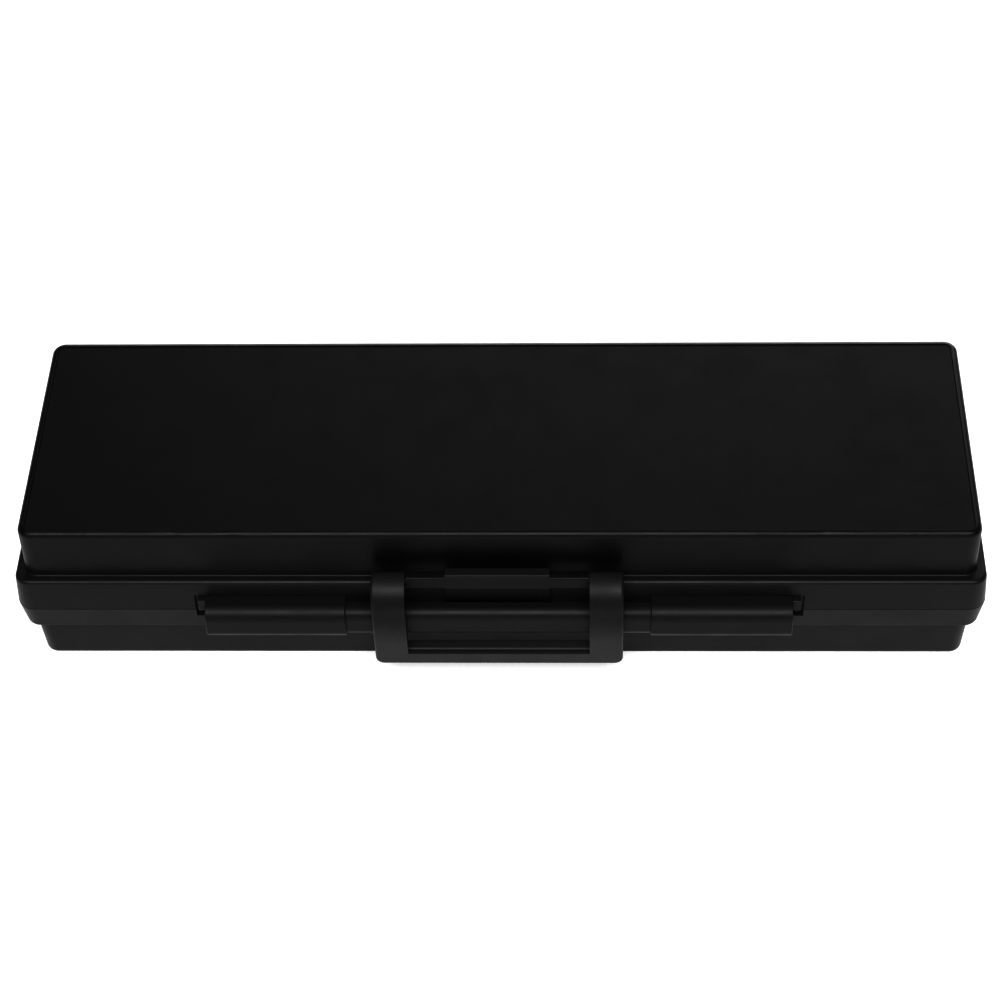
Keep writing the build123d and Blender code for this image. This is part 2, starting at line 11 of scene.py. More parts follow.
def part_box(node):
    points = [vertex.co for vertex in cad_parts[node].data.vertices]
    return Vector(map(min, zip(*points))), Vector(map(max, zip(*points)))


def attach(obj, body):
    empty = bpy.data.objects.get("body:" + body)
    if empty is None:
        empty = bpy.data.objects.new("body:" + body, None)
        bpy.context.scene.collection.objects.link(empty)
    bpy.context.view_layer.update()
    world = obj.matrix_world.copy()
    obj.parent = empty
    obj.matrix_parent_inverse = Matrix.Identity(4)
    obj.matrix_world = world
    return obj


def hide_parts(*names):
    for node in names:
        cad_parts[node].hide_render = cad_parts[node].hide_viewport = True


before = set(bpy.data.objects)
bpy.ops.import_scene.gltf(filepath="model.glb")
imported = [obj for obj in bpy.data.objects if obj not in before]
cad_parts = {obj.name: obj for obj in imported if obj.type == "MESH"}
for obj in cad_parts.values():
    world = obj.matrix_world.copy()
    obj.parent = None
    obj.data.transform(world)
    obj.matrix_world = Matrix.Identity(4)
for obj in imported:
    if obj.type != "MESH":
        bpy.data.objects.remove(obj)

MM = 0.001
WHITE = (1.0, 1.0, 1.0)

# Height in metres that the painted shade zones of a finish are measured against
TALLEST = 0.1

# Places of the sockets on a mix node that is set to colours
MIX_SHARE = 0
MIX_FIRST = 6
MIX_SECOND = 7
MIX_RESULT = 2

Colour = tuple[float, float, float]
Triple = tuple[float, float, float]
Span = tuple[float, float]
Stops = tuple[tuple[float, float], ...]
Socket = bpy.types.NodeSocket

logging.basicConfig(level=logging.INFO, format="%(message)s")
log = logging.getLogger("storage_box")


class Body(Enum):
    """Rigid bodies that a new piece can ride on."""

    LID = "lid"


class Slot(Enum):
    """Material slots that a new piece can take its finish from."""

    FOAM = "foam"


@dataclass(frozen=True)
class Pattern:
    """Cloudy noise.

    Args:
        size: width of a typical feature, in metres.
        detail: number of finer layers.
        rough: weight of the finer layers.
    """

    size: float
    detail: float
    rough: float = 0.5


@dataclass(frozen=True)
class Relief:
    """Fine relief of a surface.

    Args:
        depth: real depth, in metres.
        strength: share of it that shows.
    """

    depth: float
    strength: float


class NodeTree:
    """Thin helper round a material's node tree.

    Args:
        name: name of the new material.
    """

    def __init__(self, name: str) -> None:
        """Makes the material with its shader."""
        self.material = bpy.data.materials.new(name)
        self.material.use_nodes = True
        self.nodes = self.material.node_tree.nodes
        self.links = self.material.node_tree.links
        self.nodes.clear()
        self.output = self.nodes.new("ShaderNodeOutputMaterial")
        self.shader = self.nodes.new("ShaderNodeBsdfPrincipled")
        self.links.new(self.shader.outputs["BSDF"], self.output.inputs["Surface"])
        self.place = self.nodes.new("ShaderNodeTexCoord")

    def link(self, source: Socket, target: Socket) -> None:
        """Joins an output socket to an input socket."""
        self.links.new(source, target)

    def feed(self, source: Socket, name: str) -> None:
        """Joins an output socket to an input of the shader."""
        self.links.new(source, self.shader.inputs[name])

    def fix(self, name: str, value: float | tuple[float, ...]) -> None:
        """Sets a constant on an input of the shader."""
        self.shader.inputs[name].default_value = value

    def stretched(self, scale: Triple) -> Socket:
        """Object coordinates, stretched along the axes.

        Args:
            scale: factor on each axis.

        Returns:
            The vector socket.
        """
        mapping = self.nodes.new("ShaderNodeMapping")
        mapping.inputs["Scale"].default_value = scale
        self.link(self.place.outputs["Object"], mapping.inputs["Vector"])
        return mapping.outputs["Vector"]

    def axes(self) -> bpy.types.NodeOutputs:
        """Object coordinates as three separate sockets, in metres.

        Returns:
            The sockets X, Y and Z.
        """
        split = self.nodes.new("ShaderNodeSeparateXYZ")
        self.link(self.place.outputs["Object"], split.inputs["Vector"])
        return split.outputs

    def noise(self, pattern: Pattern, vector: Socket | None = None) -> Socket:
        """Cloudy noise.

        Args:
            pattern: size and layers of the noise.
            vector: coordinates to use, or None for the object's own.

        Returns:
            The factor socket.
        """
        node = self.nodes.new("ShaderNodeTexNoise")
        node.inputs["Scale"].default_value = 1.0 / pattern.size
        node.inputs["Detail"].default_value = pattern.detail
        node.inputs["Roughness"].default_value = pattern.rough
        self.link(vector or self.place.outputs["Object"], node.inputs["Vector"])
        return node.outputs["Fac"]

    def cells(self, size: float) -> Socket:
        """Distance inside irregular cells.

        Args:
            size: width of a cell, in metres.

        Returns:
            The distance socket.
        """
        node = self.nodes.new("ShaderNodeTexVoronoi")
        node.inputs["Scale"].default_value = 1.0 / size
        node.inputs["Randomness"].default_value = 1.0
        self.link(self.place.outputs["Object"], node.inputs["Vector"])
        return node.outputs["Distance"]

    def maths(self, operation: str, first: Socket, second: Socket | float = 0.0) -> Socket:
        """One operation on a socket and a number, or on two sockets.

        Args:
            operation: name of the operation.
            first: first value.
            second: second value.

        Returns:
            The value socket.
        """
        node = self.nodes.new("ShaderNodeMath")
        node.operation = operation
        self.link(first, node.inputs[0])
        if isinstance(second, float):
            node.inputs[1].default_value = second
        else:
            self.link(second, node.inputs[1])
        return node.outputs["Value"]

    def outside(self, half_x: float, half_y: float) -> Socket:
        """Distance outside a rectangle round the origin.

        Args:
            half_x: half size along X, in metres.
            half_y: half size along Y, in metres.

        Returns:
            The distance socket.
        """
        axes = self.axes()
        gap_x = self.maths("SUBTRACT", self.maths("ABSOLUTE", axes["X"]), half_x)
        gap_y = self.maths("SUBTRACT", self.maths("ABSOLUTE", axes["Y"]), half_y)
        return self.maths("MAXIMUM", gap_x, gap_y)

    def between(self, fac: Socket, span: Span, out: Span) -> Socket:
        """Maps a factor between two limits to a range of values.

        Args:
            fac: factor socket.
            span: factors that give the first and the last value.
            out: first and last value.

        Returns:
            The mapped value socket.
        """
        node = self.nodes.new("ShaderNodeMapRange")
        node.inputs["From Min"].default_value, node.inputs["From Max"].default_value = span
        node.inputs["To Min"].default_value, node.inputs["To Max"].default_value = out
        self.link(fac, node.inputs["Value"])
        return node.outputs["Result"]

    def shades(self, fac: Socket, colour: Colour, stops: Stops) -> Socket:
        """A colour made lighter and darker along a factor.

        Args:
            fac: factor socket.
            colour: the middle colour.
            stops: places from 0 to 1, each with a factor of the colour.

        Returns:
            The colour socket.
        """
        node = self.nodes.new("ShaderNodeValToRGB")
        elements = node.color_ramp.elements
        elements[0].position = stops[0][0]
        elements[1].position = stops[-1][0]
        for place, _ in stops[1:-1]:
            elements.new(place)
        for element, (_, factor) in zip(elements, stops):
            element.color = (*(channel * factor for channel in colour), 1.0)
        self.link(fac, node.inputs["Fac"])
        return node.outputs["Color"]

    def blend(
        self, kind: str, share: Socket | float, first: Socket, second: Socket | Colour
    ) -> Socket:
        """Mixes two colours.

        Args:
            kind: how the second colour is laid over the first.
            share: share of the second colour.
            first: colour beneath.
            second: colour on top.

        Returns:
            The colour socket.
        """
        node = self.nodes.new("ShaderNodeMix")
        node.data_type = "RGBA"
        node.blend_type = kind
        self.link(first, node.inputs[MIX_FIRST])
        if isinstance(share, float):
            node.inputs[MIX_SHARE].default_value = share
        else:
            self.link(share, node.inputs[MIX_SHARE])
        if isinstance(second, tuple):
            node.inputs[MIX_SECOND].default_value = (*second, 1.0)
        else:
            self.link(second, node.inputs[MIX_SECOND])
        return node.outputs[MIX_RESULT]

    def painted_shade_by_height(self, base: Socket, painted_shade_zones: Stops) -> Socket:
        """Paints light and shade into a colour, lighter or darker with the height.

        Args:
            base: colour socket.
            painted_shade_zones: heights in metres, each with its factor of painted light or shade.

        Returns:
            The new colour socket.
        """
        share = self.between(self.axes()["Z"], (0.0, TALLEST), (0.0, 1.0))
        stops = tuple((height / TALLEST, factor) for height, factor in painted_shade_zones)
        return self.blend("MULTIPLY", 1.0, base, self.shades(share, WHITE, stops))

    def bump(self, height: Socket, relief: Relief, under: Socket | None = None) -> Socket:
        """Bump from a height.

        Args:
            height: height socket, from 0 to 1.
            relief: depth and strength of the bump.
            under: normal of a coarser bump beneath this one.

        Returns:
            The normal socket.
        """
        node = self.nodes.new("ShaderNodeBump")
        node.inputs["Strength"].default_value = relief.strength
        node.inputs["Distance"].default_value = relief.depth
        self.link(height, node.inputs["Height"])
        if under is not None:
            self.link(under, node.inputs["Normal"])
        return node.outputs["Normal"]


@dataclass(frozen=True)
class MouldedPlastic:
    """Black moulded plastic with a fine spark-eroded grain, handling marks, dust and, where zones
    are given, painted shade by height.

    Args:
        name: name of the material.
        colour: base colour.
        roughness: middle of the roughness.
        grain: width of the grain, in metres.
        relief: relief of the grain.
        specular: specular level.
        painted_shade_zones: heights in metres, each with a factor of the colour that paints shade
            or light by height; none for one colour.
        flow: cloudy flow of the plastic in the mould.
        flow_stretch: how far the flow is squeezed along the axes.
        flow_shades: places on the flow, each with a factor of the colour.
        marks: marks of handling.
        marks_span: places on the marks between which the roughness changes.
        marks_depth: how far the marks change the roughness.
        dust: specks of dust.
        dust_span: places on the specks between which the dust shows.
        dust_share: share of dust in a speck.
        dust_colour: colour of the dust.
        fine_width: width of the fine grain, as a share of the grain.
        fine_depth: depth of the fine grain, as a share of the grain's.
        fine_detail: number of finer layers of the fine grain.
    """

    name: str
    colour: Colour
    roughness: float
    grain: float
    relief: Relief
    specular: float
    painted_shade_zones: Stops = ()
    flow: Pattern = Pattern(0.09, 3.0, 0.6)
    flow_stretch: Triple = (0.45, 1.0, 1.6)
    flow_shades: Stops = ((0.3, 0.86), (0.5, 1.0), (0.72, 1.16))
    marks: Pattern = Pattern(0.022, 5.0, 0.62)
    marks_span: Span = (0.32, 0.68)
    marks_depth: float = 0.06
    dust: Pattern = Pattern(0.0016, 1.0)
    dust_span: Span = (0.72, 0.8)
    dust_share: float = 0.02
    dust_colour: Colour = (0.30, 0.29, 0.27)
    fine_width: float = 0.45
    fine_depth: float = 0.5
    fine_detail: float = 2.0

    def material(self) -> bpy.types.Material:
        """Makes the material.

        Returns:
            The material.
        """
        tree = NodeTree(self.name)
        flow = tree.noise(self.flow, tree.stretched(self.flow_stretch))
        base = tree.shades(flow, self.colour, self.flow_shades)
        # Painted shade: the colour is made darker or lighter by height, standing in for how light
        # falls
        if self.painted_shade_zones:
            base = tree.painted_shade_by_height(base, self.painted_shade_zones)
        specks = tree.between(tree.noise(self.dust), self.dust_span, (0.0, self.dust_share))
        tree.feed(tree.blend("MIX", specks, base, self.dust_colour), "Base Color")
        roughness = (self.roughness - self.marks_depth, self.roughness + self.marks_depth)
        tree.feed(tree.between(tree.noise(self.marks), self.marks_span, roughness), "Roughness")
        tree.fix("Specular IOR Level", self.specular)
        coarse = tree.bump(tree.cells(self.grain), self.relief)
        fine = tree.noise(Pattern(self.grain * self.fine_width, self.fine_detail))
        fine_relief = Relief(self.relief.depth * self.fine_depth, self.relief.strength)
        tree.feed(tree.bump(fine, fine_relief, under=coarse), "Normal")
        return tree.material


@dataclass(frozen=True)
class SheetPlastic:
    """Plastic sheet for dividers and the tray: smooth, with faint flow lines and scuffs.

    Args:
        name: name of the material.
        colour: base colour.
        roughness: middle of the roughness.
        flow: cloudy flow of the plastic.
        flow_stretch: how far the flow is squeezed along the axes.
        flow_shades: places on the flow, each with a factor of the colour.
        scuffs: scuffs on the surface.
        scuffs_span: places on the scuffs between which the roughness changes.
        smoother: how much less the roughness gets.
        rougher: how much more the roughness gets.
        grain: fine grain.
        relief: relief of the grain.
    """

    name: str
    colour: Colour
    roughness: float
    flow: Pattern = Pattern(0.05, 4.0, 0.6)
    flow_stretch: Triple = (0.3, 1.0, 1.0)
    flow_shades: Stops = ((0.3, 0.85), (0.7, 1.15))
    scuffs: Pattern = Pattern(0.012, 6.0, 0.65)
    scuffs_span: Span = (0.3, 0.7)
    smoother: float = 0.07
    rougher: float = 0.08
    grain: Pattern = Pattern(0.0005, 2.0)
    relief: Relief = Relief(0.00003, 0.4)

    def material(self) -> bpy.types.Material:
        """Makes the material.

        Returns:
            The material.
        """
        tree = NodeTree(self.name)
        flow = tree.noise(self.flow, tree.stretched(self.flow_stretch))
        tree.feed(tree.shades(flow, self.colour, self.flow_shades), "Base Color")
        roughness = (self.roughness - self.smoother, self.roughness + self.rougher)
        tree.feed(tree.between(tree.noise(self.scuffs), self.scuffs_span, roughness), "Roughness")
        tree.feed(tree.bump(tree.noise(self.grain), self.relief), "Normal")
        return tree.material


@dataclass(frozen=True)
class PlatedSteel:
    """Plated or blackened steel with drawn lines.

    Args:
        name: name of the material.
        colour: base colour.
        roughness: middle of the roughness.
        cloud: cloudy shades of the plating.
        cloud_shades: places on the cloud, each with a factor of the colour.
        lines: drawn lines.
        lines_stretch: how far the lines are squeezed along the axes.
        lines_span: places on the lines between which the roughness changes.
        smoother: how much less the roughness gets.
        rougher: how much more the roughness gets.
        relief: relief of the lines.
    """

    name: str
    colour: Colour
    roughness: float
    cloud: Pattern = Pattern(0.004, 3.0)
    cloud_shades: Stops = ((0.3, 0.88), (0.7, 1.08))
    lines: Pattern = Pattern(0.0006, 3.0)
    lines_stretch: Triple = (1.0, 0.08, 1.0)
    lines_span: Span = (0.3, 0.7)
    smoother: float = 0.06
    rougher: float = 0.08
    relief: Relief = Relief(0.00001, 0.5)

    def material(self) -> bpy.types.Material:
        """Makes the material.

        Returns:
            The material.
        """
        tree = NodeTree(self.name)
        tree.fix("Metallic", 1.0)
        tree.feed(tree.shades(tree.noise(self.cloud), self.colour, self.cloud_shades), "Base Color")
        lines = tree.noise(self.lines, tree.stretched(self.lines_stretch))
        roughness = (self.roughness - self.smoother, self.roughness + self.rougher)
        tree.feed(tree.between(lines, self.lines_span, roughness), "Roughness")
        tree.feed(tree.bump(lines, self.relief), "Normal")
        return tree.material


@dataclass(frozen=True)
class OpenCellFoam:
    """Dark open-cell foam with pores.

    Args:
        name: name of the material.
        colour: colour of the cell walls.
        pore: width of a pore, in metres.
        painted_pore_shade: painted shade, darker in the middle of a pore and lighter on the cell
            walls; places from the middle of a pore outwards, each with a factor of the colour.
        roughness: roughness of the foam.
        specular: specular level.
        sheen: share of sheen.
        pore_depth: depth of a pore, as a share of its width.
        pore_strength: share of the pores' relief that shows.
        crumb_width: width of the crumb on the cell walls, as a share of a pore.
        crumb_detail: number of finer layers of the crumb.
        crumb_depth: depth of the crumb, as a share of a pore.
        crumb_strength: share of the crumb's relief that shows.
    """

    name: str
    colour: Colour
    pore: float
    painted_pore_shade: Stops = ((0.1, 0.35), (0.45, 1.0), (0.8, 1.3))
    roughness: float = 0.95
    specular: float = 0.15
    sheen: float = 0.12
    pore_depth: float = 0.6
    pore_strength: float = 0.8
    crumb_width: float = 0.4
    crumb_detail: float = 3.0
    crumb_depth: float = 0.3
    crumb_strength: float = 0.6

    def material(self) -> bpy.types.Material:
        """Makes the material.

        Returns:
            The material.
        """
        tree = NodeTree(self.name)
        pores = tree.cells(self.pore)
        # Painted shade darkens the middle of each pore and lightens the cell walls
        tree.feed(tree.shades(pores, self.colour, self.painted_pore_shade), "Base Color")
        tree.fix("Roughness", self.roughness)
        tree.fix("Specular IOR Level", self.specular)
        tree.fix("Sheen Weight", self.sheen)
        deep = tree.bump(pores, Relief(self.pore * self.pore_depth, self.pore_strength))
        crumb = tree.noise(Pattern(self.pore * self.crumb_width, self.crumb_detail))
        crumb_relief = Relief(self.pore * self.crumb_depth, self.crumb_strength)
        tree.feed(tree.bump(crumb, crumb_relief, under=deep), "Normal")
        return tree.material


@dataclass(frozen=True)
class StudioPaper:
    """White paper of the floor.

    Args:
        name: name of the material.
        shade: brightness of the paper.
        glow: light that the paper gives off.
        shadow_filling_glow: extra light that the paper gives off close to the box, painted light
            that fills the box's shadow on the floor.
        near: distances from the box where that extra light starts to fade and has gone, in metres.
        far_glow: extra light far from the box, where the lamps no longer reach.
        far: distances from the box where that extra light starts and is full, in metres.
        roughness: roughness of the paper.
        specular: specular level.
    """

    name: str
    shade: float
    glow: float
    shadow_filling_glow: float
    near: Span
    far_glow: float
    far: Span
    roughness: float = 0.9
    specular: float = 0.1

    def material(self) -> bpy.types.Material:
        """Makes the material.

        Returns:
            The material.
        """
        tree = NodeTree(self.name)
        tree.fix("Base Color", (self.shade, self.shade, self.shade, 1.0))
        tree.fix("Roughness", self.roughness)
        tree.fix("Specular IOR Level", self.specular)
        tree.fix("Emission Color", (*WHITE, 1.0))
        low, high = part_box("base_shell")
        half = (high - low) / 2
        away = tree.outside(half.x, half.y)
        # Painted light: the floor glows more close to the box, filling in its shadow
        close = tree.between(away, self.near, (self.glow + self.shadow_filling_glow, self.glow))
        distant = tree.between(away, self.far, (0.0, self.far_glow))
        tree.feed(tree.maths("ADD", close, distant), "Emission Strength")
        return tree.material


BASE_FINISH = MouldedPlastic(
    name="base_black",
    colour=(0.0107, 0.0107, 0.0105),
    roughness=0.42,
    grain=0.0007,
    relief=Relief(0.00003, 0.5),
    specular=0.2,
)
LID_FINISH = MouldedPlastic(
    name="lid_black",
    colour=(0.0107, 0.0107, 0.0105),
    roughness=0.42,
    grain=0.0007,
    relief=Relief(0.00003, 0.5),
    specular=0.23,
    # Painted shade: the lid wall above the shoulder is coloured darker than the skirt below it
    painted_shade_zones=((0.064, 1.0), (0.067, 0.4)),
)
PANEL_FINISH = MouldedPlastic(
    name="panel_black",
    colour=(0.0037, 0.0037, 0.0036),
    roughness=0.55,
    grain=0.0005,
    relief=Relief(0.00003, 0.5),
    specular=0.14,
)
LATCH_FINISH = MouldedPlastic(
    name="latch_black",
    colour=(0.0104, 0.0104, 0.0102),
    roughness=0.44,
    grain=0.0006,
    relief=Relief(0.00002, 0.35),
    specular=0.2,
)
HANDLE_FINISH = MouldedPlastic(
    name="handle_black",
    colour=(0.024, 0.024, 0.0238),
    roughness=0.5,
    grain=0.0009,
    relief=Relief(0.00007, 0.8),
    specular=0.26,
    # Painted light and shade: the handle is darkened at middle heights, lighter at the top turn and
    # the lower bow
    painted_shade_zones=((0.038, 1.0), (0.055, 0.17), (0.066, 0.17), (0.073, 0.6)),
)
BRACKET_FINISH = MouldedPlastic(
    name="bracket_black",
    colour=(0.0115, 0.0115, 0.0114),
    roughness=0.5,
    grain=0.0009,
    relief=Relief(0.00007, 0.8),
    specular=0.26,
    # Painted shade: the bracket is nearly black below the bar, in the gap behind the handle, and
    # darker on the bar's face
    painted_shade_zones=((0.064, 0.05), (0.067, 0.35), (0.0745, 0.35), (0.0758, 1.0)),
)
DIVIDER_FINISH = SheetPlastic(name="divider_grey", colour=(0.045, 0.045, 0.048), roughness=0.5)
TRAY_FINISH = SheetPlastic(name="tray_grey", colour=(0.038, 0.038, 0.041), roughness=0.42)
STEEL_FINISH = PlatedSteel(name="zinc_plate", colour=(0.56, 0.57, 0.58), roughness=0.3)
PIN_FINISH = PlatedSteel(name="blackened_steel", colour=(0.045, 0.045, 0.047), roughness=0.42)
FOAM_FINISH = OpenCellFoam(name="foam_grey", colour=(0.055, 0.055, 0.058), pore=0.0011)
PAPER_FINISH = StudioPaper(
    name="studio_paper",
    shade=0.86,
    glow=0.14,
    shadow_filling_glow=0.3,
    near=(0.02, 0.08),
    far_glow=0.9,
    far=(1.0, 2.8),
)


def dress(nodes: tuple[str, ...], finish: bpy.types.Material) -> None:
    """Gives CAD nodes a finish.

    Args:
        nodes: names of the nodes.
        finish: the material for all of them.
    """
    for name in nodes:
        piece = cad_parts[name]
        if not piece.material_slots:
            piece.data.materials.append(finish)
        for place in piece.material_slots:
            place.material = finish
        log.info("dressed %s with %s", name, finish.name)


@dataclass(frozen=True)
class Case:
    """Base shell, lid shell and the panel let into the lid."""

    base: tuple[str, ...] = ("base_shell",)
    lid: tuple[str, ...] = ("lid_shell",)
    panel: tuple[str, ...] = ("lid_panel",)

    def build(self) -> None:
        """Dresses the shells and the panel."""
        dress(self.base, BASE_FINISH.material())
        dress(self.lid, LID_FINISH.material())
        dress(self.panel, PANEL_FINISH.material())


@dataclass(frozen=True)
class LatchRail:
    """Rail along the front with its two sliding latches and screws."""

    plastic: tuple[str, ...] = ("front_rail", "latch_left", "latch_right")
    screws: tuple[str, ...] = ("rail_screws", "bracket_screws")

    def build(self, steel: bpy.types.Material) -> None:
        """Dresses the rail, the latches and the screws."""
        dress(self.plastic, LATCH_FINISH.material())
        dress(self.screws, steel)


@dataclass(frozen=True)
class CarryHandle:
    """Bracket, handle and the handle's pivot pins."""

    bracket: tuple[str, ...] = ("handle_bracket",)
    bail: tuple[str, ...] = ("handle_bail",)
    pins: tuple[str, ...] = ("handle_pins",)

    def build(self) -> None:
        """Dresses the bracket, the handle and the pins."""
        dress(self.bracket, BRACKET_FINISH.material())
        dress(self.bail, HANDLE_FINISH.material())
        dress(self.pins, PIN_FINISH.material())


@dataclass(frozen=True)
class Hinge:
    """Pins of the rear hinge."""

    pins: tuple[str, ...] = ("hinge_pins",)

    def build(self, steel: bpy.types.Material) -> None:
        """Dresses the hinge pins."""
        dress(self.pins, steel)


@dataclass(frozen=True)
class Interior:
    """Dividers and lift-out tray."""

    dividers: tuple[str, ...] = (
        "long_divider",
        "cross_divider_front_left",
        "cross_divider_front_middle",
        "cross_divider_front_right",
        "cross_divider_rear_left",
        "cross_divider_rear_middle",
        "cross_divider_rear_right",
    )
    tray: tuple[str, ...] = ("parts_tray",)

    def build(self) -> None:
        """Dresses the dividers and the tray."""
        dress(self.dividers, DIVIDER_FINISH.material())
        dress(self.tray, TRAY_FINISH.material())


@dataclass(frozen=True)
class Slab:
    """Block that the foam pad is cut from.

    Args:
        centre: middle of the block, in metres.
        half: half sizes of the block, in metres.
    """

    centre: Vector
    half: Vector

    def point(self, x: float, y: float, z: float) -> Triple:
        """A place given from the middle of the block, as a place in the scene."""
        return (self.centre.x + x, self.centre.y + y, self.centre.z + z)


@dataclass(frozen=True)
class FoamPad:
    """Foam pad in the lid: a cut slab with softened edges and a slightly uneven face.

    Args:
        corner: radius of the upright corners, in metres.
        edge: radius of the softened edges, in metres.
        edge_steps: number of steps round a softened edge.
        crown: depth of the unevenness, in metres.
        columns: number of steps along the pad.
        rows: number of steps across the pad.
        wave_along: waves per metre along the pad, times a full turn.
        wave_across: the same across the pad.
        wave_slant: the same along the slant between the two.
        wave_shift: start of the waves along the pad.
    """

    corner: float = 5.0 * MM
    edge: float = 2.2 * MM
    edge_steps: int = 4
    crown: float = 0.25 * MM
    columns: int = 96
    rows: int = 28
    wave_along: float = 61.0
    wave_across: float = 83.0
    wave_slant: float = 29.0
    wave_shift: float = 1.3

    def build(self) -> None:
        """Makes the pad and puts it in the place of its CAD solid."""
        pad = bpy.data.objects.new("lid_foam", self.mesh())
        bpy.context.scene.collection.objects.link(pad)
        pad.data.materials.append(FOAM_FINISH.material())
        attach(pad, Body.LID.value)
        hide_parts("lid_foam_pad")
        log.info("made lid_foam, %d faces", len(pad.data.polygons))

    def mesh(self) -> bpy.types.Mesh:
        """Makes the pad's mesh from rings round its edge and two faces.

        Returns:
            The mesh.
        """
        low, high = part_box("lid_foam_pad")
        slab = Slab((low + high) / 2, (high - low) / 2)
        mesh = bmesh.new()
        steps = self.edge_ring_steps(slab.half.z)
        rings = [self.ring(mesh, slab, inset, height) for inset, height in steps]
        for lower, upper in zip(rings, rings[1:]):
            count = len(lower)
            for i in range(count):
                mesh.faces.new((lower[i], lower[(i + 1) % count], upper[(i + 1) % count], upper[i]))
        self.close(mesh, slab, rings[0], steps[0], -1.0)
        self.close(mesh, slab, rings[-1], steps[-1], 1.0)
        bmesh.ops.recalc_face_normals(mesh, faces=mesh.faces)
        for face in mesh.faces:
            face.smooth = True
        data = bpy.data.meshes.new("lid_foam")
        mesh.to_mesh(data)
        mesh.free()
        return data

    def edge_ring_steps(self, half_height: float) -> list[tuple[float, float]]:
        """Insets and heights of the rings round the softened edges.

        Args:
            half_height: half the thickness of the pad, in metres.

        Returns:
            Pairs of inset and height, from the underside to the top.
        """
        low = []
        for i in range(self.edge_steps + 1):
            angle = math.pi / 2 * i / self.edge_steps
            inset = self.edge * (1 - math.sin(angle))
            low.append((inset, -half_height + self.edge * (1 - math.cos(angle))))
        return low + [(inset, -height) for inset, height in reversed(low)]

    def walk(self) -> list[tuple[int, int]]:
        """Places round the edge of the pad's grid, in order from the low corner.

        Returns:
            Pairs of column and row.
        """
        places = [(i, 0) for i in range(self.columns)]
        places += [(self.columns, j) for j in range(self.rows)]
        places += [(i, self.rows) for i in range(self.columns, 0, -1)]
        places += [(0, j) for j in range(self.rows, 0, -1)]
        return places

    def ring(
        self, mesh: bmesh.types.BMesh, slab: Slab, inset: float, height: float
    ) -> list[bmesh.types.BMVert]:
        """Adds a ring of points round the pad's rounded outline.

        Args:
            mesh: mesh that takes the points.
            slab: block that the pad is cut from.
            inset: distance inside the full outline, in metres.
            height: height above the middle, in metres.

        Returns:
            The points in order round the ring.
        """
        ring = []
        side_x = slab.half.x - inset
        side_y = slab.half.y - inset
        for i, j in self.walk():
            x = (2 * i / self.columns - 1) * side_x
            y = (2 * j / self.rows - 1) * side_y
            over_x = max(0.0, abs(x) - (side_x - self.corner))
            over_y = max(0.0, abs(y) - (side_y - self.corner))
            if over_x > 0 and over_y > 0:
                factor = max(over_x, over_y) / math.hypot(over_x, over_y)
                x = math.copysign(side_x - self.corner + over_x * factor, x)
                y = math.copysign(side_y - self.corner + over_y * factor, y)
            ring.append(mesh.verts.new(slab.point(x, y, height)))
        return ring

    def unevenness(self, x: float, y: float) -> float:
        """Depth of the uneven face at a place, in metres.

        Args:
            x: place along the pad, in metres.
            y: place across the pad, in metres.

        Returns:
            The depth below the flat face.
        """
        along = math.sin(self.wave_along * x + self.wave_shift)
        across = math.cos(self.wave_across * y)
        slant = math.sin(self.wave_slant * (x + y))
        return self.crown * (0.5 - 0.5 * along * across * slant)

    def close(
        self,
        mesh: bmesh.types.BMesh,
        slab: Slab,
        ring: list[bmesh.types.BMVert],
        step: tuple[float, float],
        side: float,
    ) -> None:
        """Fills the top or underside with a grid that is slightly uneven.

        Args:
            mesh: mesh that takes the faces.
            slab: block that the pad is cut from.
            ring: outer ring of the face.
            step: inset and height of the ring, in metres.
            side: 1 for the top, -1 for the underside.
        """
        inset, height = step
        grid = dict(zip(self.walk(), ring))
        for i in range(1, self.columns):
            for j in range(1, self.rows):
                x = (2 * i / self.columns - 1) * (slab.half.x - inset)
                y = (2 * j / self.rows - 1) * (slab.half.y - inset)
                z = height - side * self.unevenness(x, y)
                grid[(i, j)] = mesh.verts.new(slab.point(x, y, z))
        for i in range(self.columns):
            for j in range(self.rows):
                square = ((i, j), (i + 1, j), (i + 1, j + 1), (i, j + 1))
                mesh.faces.new([grid[place] for place in square])


@dataclass(frozen=True)
class AreaLight:
    """Soft rectangular studio light.

    Args:
        name: name of the light.
        place: where it stands, in metres.
        target: point that it faces, in metres.
        size: width and height, in metres.
        power: power in watts.
    """

    name: str
    place: Triple
    target: Triple
    size: tuple[float, float]
    power: float

    def build(self) -> None:
        """Adds the light to the scene."""
        data = bpy.data.lights.new(self.name, "AREA")
        data.shape = "RECTANGLE"
        data.size, data.size_y = self.size
        data.energy = self.power
        lamp = bpy.data.objects.new(self.name, data)
        lamp.location = self.place
        aim = Vector(self.target) - Vector(self.place)
        lamp.rotation_euler = aim.to_track_quat("-Z", "Y").to_euler()
        bpy.context.scene.collection.objects.link(lamp)
        log.info("made light %s, %g W", self.name, self.power)


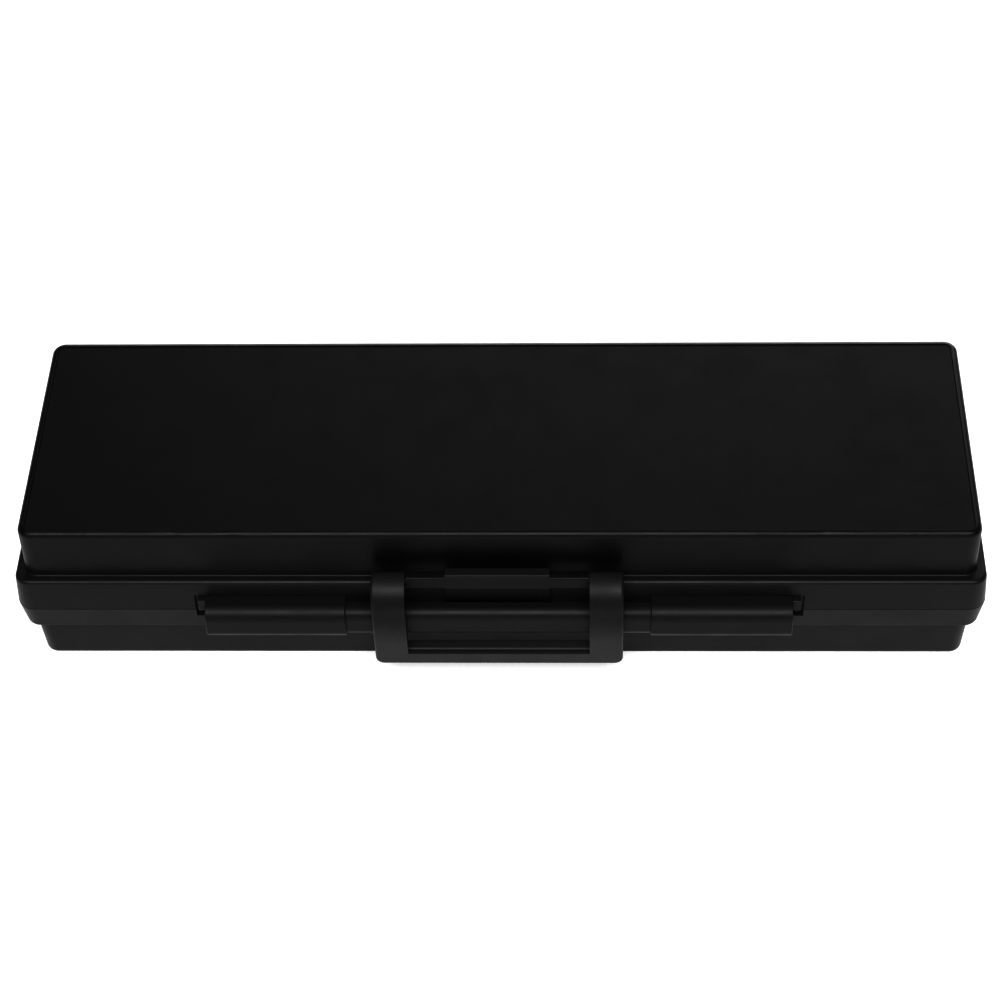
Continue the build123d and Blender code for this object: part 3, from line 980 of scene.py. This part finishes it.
@dataclass(frozen=True)
class PhotoCamera:
    """Camera at the photograph's viewpoint.

    Args:
        place: position in metres.
        yaw: turn to the right of +Y, in degrees.
        pitch: tilt down, in degrees.
        roll: roll of the image, in degrees.
        focal_pixels: focal length in pixels of the square photograph.
        image_pixels: side of the square photograph, in pixels.
        sensor: width of the sensor, in millimetres.
        clip: nearest and farthest distance that shows, in metres.
    """

    place: Triple = (0.04535, -0.9316, 1.0445)
    yaw: float = -2.834
    pitch: float = 47.0
    roll: float = -2.140
    focal_pixels: float = 2554.07
    image_pixels: float = 1001.0
    sensor: float = 36.0
    clip: Span = (0.01, 50.0)

    def build(self) -> None:
        """Adds the camera and makes it the scene's own."""
        yaw, pitch, roll = (math.radians(angle) for angle in (self.yaw, self.pitch, self.roll))
        level_ahead = math.cos(pitch)
        ahead = Vector((math.sin(yaw) * level_ahead, math.cos(yaw) * level_ahead, -math.sin(pitch)))
        level = Vector((math.cos(yaw), -math.sin(yaw), 0.0))
        up = level.cross(ahead)
        right = level * math.cos(roll) + up * math.sin(roll)
        up = up * math.cos(roll) - level * math.sin(roll)
        data = bpy.data.cameras.new("photo_camera")
        data.sensor_fit = "HORIZONTAL"
        data.sensor_width = self.sensor
        data.lens = self.focal_pixels / self.image_pixels * self.sensor
        data.clip_start, data.clip_end = self.clip
        camera = bpy.data.objects.new("photo_camera", data)
        turn = Matrix((right, up, -ahead)).transposed().to_4x4()
        camera.matrix_world = Matrix.Translation(self.place) @ turn
        bpy.context.scene.collection.objects.link(camera)
        bpy.context.scene.camera = camera
        log.info("made photo_camera, %.1f mm", data.lens)


@dataclass(frozen=True)
class Studio:
    """White floor, soft lights, camera and display of the colours.

    Args:
        floor_half: half the side of the square floor, in metres.
        ambient: even light from all round.
        contrast: exponent of the display; below 1 it darkens the dark tones.
        lights: the soft lights.
    """

    floor_half: float = 30.0
    ambient: float = 0.03
    contrast: float = 0.65
    lights: list[AreaLight] = field(
        default_factory=lambda: [
            AreaLight("front_top", (0.0, -1.6, 2.2), (0.0, 0.0, 0.05), (2.6, 1.2), 114.0),
            AreaLight("back_top", (0.4, 2.3, 1.7), (0.0, 0.0, 0.05), (2.6, 1.0), 22.0),
            AreaLight("overhead", (0.0, 0.3, 2.4), (0.0, 0.0, 0.0), (2.6, 1.4), 6.0),
            AreaLight("back_low", (0.5, 2.7, 0.75), (0.0, 0.0, 0.05), (2.4, 0.8), 60.0),
        ]
    )

    def build(self) -> None:
        """Builds the floor, the lights, the surroundings and the camera."""
        self.floor()
        for lamp in self.lights:
            lamp.build()
        self.surroundings()
        self.display()
        PhotoCamera().build()

    def floor(self) -> None:
        """Adds the floor as one square."""
        half = self.floor_half
        corners = [(-half, -half, 0), (half, -half, 0), (half, half, 0), (-half, half, 0)]
        mesh = bpy.data.meshes.new("studio_floor")
        mesh.from_pydata(corners, [], [(0, 1, 2, 3)])
        floor = bpy.data.objects.new("studio_floor", mesh)
        floor.data.materials.append(PAPER_FINISH.material())
        bpy.context.scene.collection.objects.link(floor)
        log.info("made studio_floor")

    def display(self) -> None:
        """Shows the colours plainly, with the photograph's contrast."""
        settings = bpy.context.scene.view_settings
        settings.view_transform = "Standard"
        settings.gamma = self.contrast

    def surroundings(self) -> None:
        """Adds a faint even light from all round."""
        world = bpy.data.worlds.new("studio_air")
        world.use_nodes = True
        back = world.node_tree.nodes["Background"]
        back.inputs["Color"].default_value = (*WHITE, 1.0)
        back.inputs["Strength"].default_value = self.ambient
        bpy.context.scene.world = world


def main() -> None:
    """Builds the dressed box and its studio in order."""
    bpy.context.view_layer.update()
    steel = STEEL_FINISH.material()
    Case().build()
    LatchRail().build(steel)
    CarryHandle().build()
    Hinge().build(steel)
    Interior().build()
    FoamPad().build()
    Studio().build()


if __name__ == "__main__":
    main()
